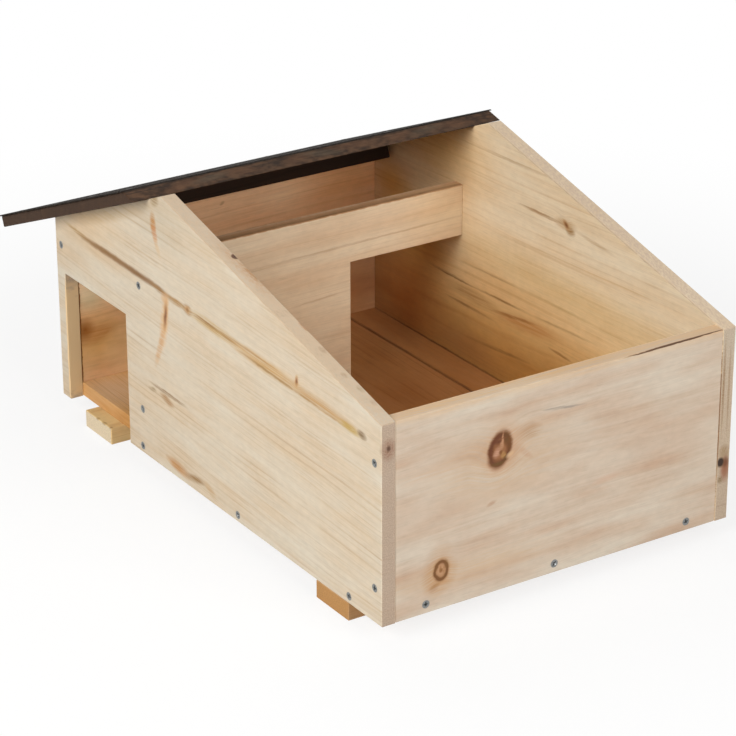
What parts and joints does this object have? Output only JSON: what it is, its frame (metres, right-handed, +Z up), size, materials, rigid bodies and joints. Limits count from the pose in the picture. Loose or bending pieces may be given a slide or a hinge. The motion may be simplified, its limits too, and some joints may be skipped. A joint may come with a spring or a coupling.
{
  "type": "hedgehog house",
  "caption": "Softwood garden shelter for hedgehogs with a side entrance, an inner partition that makes a corridor, battens for feet and a lift-off felted rear roof.",
  "frame": {"origin": "middle of the bounding box on the ground, level with the underside of the feet", "axes": "+Z up; +Y from the front wall to the rear wall under the felted roof; +X to the right seen from the front, so the entrance is in the -X side panel"},
  "size_m": [0.374, 0.604, 0.266],
  "materials": {
    "planed_softwood": "planed, untreated",
    "stained_softwood": "dark brown stain",
    "roofing_felt": "mineral grit",
    "zinc_steel": "zinc plated"
  },
  "bodies": {
    "house": {"left_side_panel": "planed_softwood", "right_side_panel": "planed_softwood", "front_wall": "planed_softwood", "rear_wall": "planed_softwood", "partition": "planed_softwood", "floor_board_left": "planed_softwood", "floor_board_middle": "planed_softwood", "floor_board_right": "planed_softwood", "front_foot": "planed_softwood", "rear_foot": "planed_softwood", "left_side_screws": "zinc_steel", "right_side_screws": "zinc_steel", "front_wall_screws": "zinc_steel", "rear_wall_screws": "zinc_steel", "front_foot_screws": "zinc_steel", "rear_foot_screws": "zinc_steel"},
    "roof": {"roof_board": "stained_softwood", "roof_felt": "roofing_felt", "roof_cleat": "stained_softwood", "cleat_screws": "zinc_steel", "felt_tacks": "zinc_steel"}
  },
  "joints": [
    {"name": "roof_lift", "type": "slide", "parent": "house", "child": "roof", "axis": [0, 0, 1], "range_m": [0, 0.15]}
  ]
}
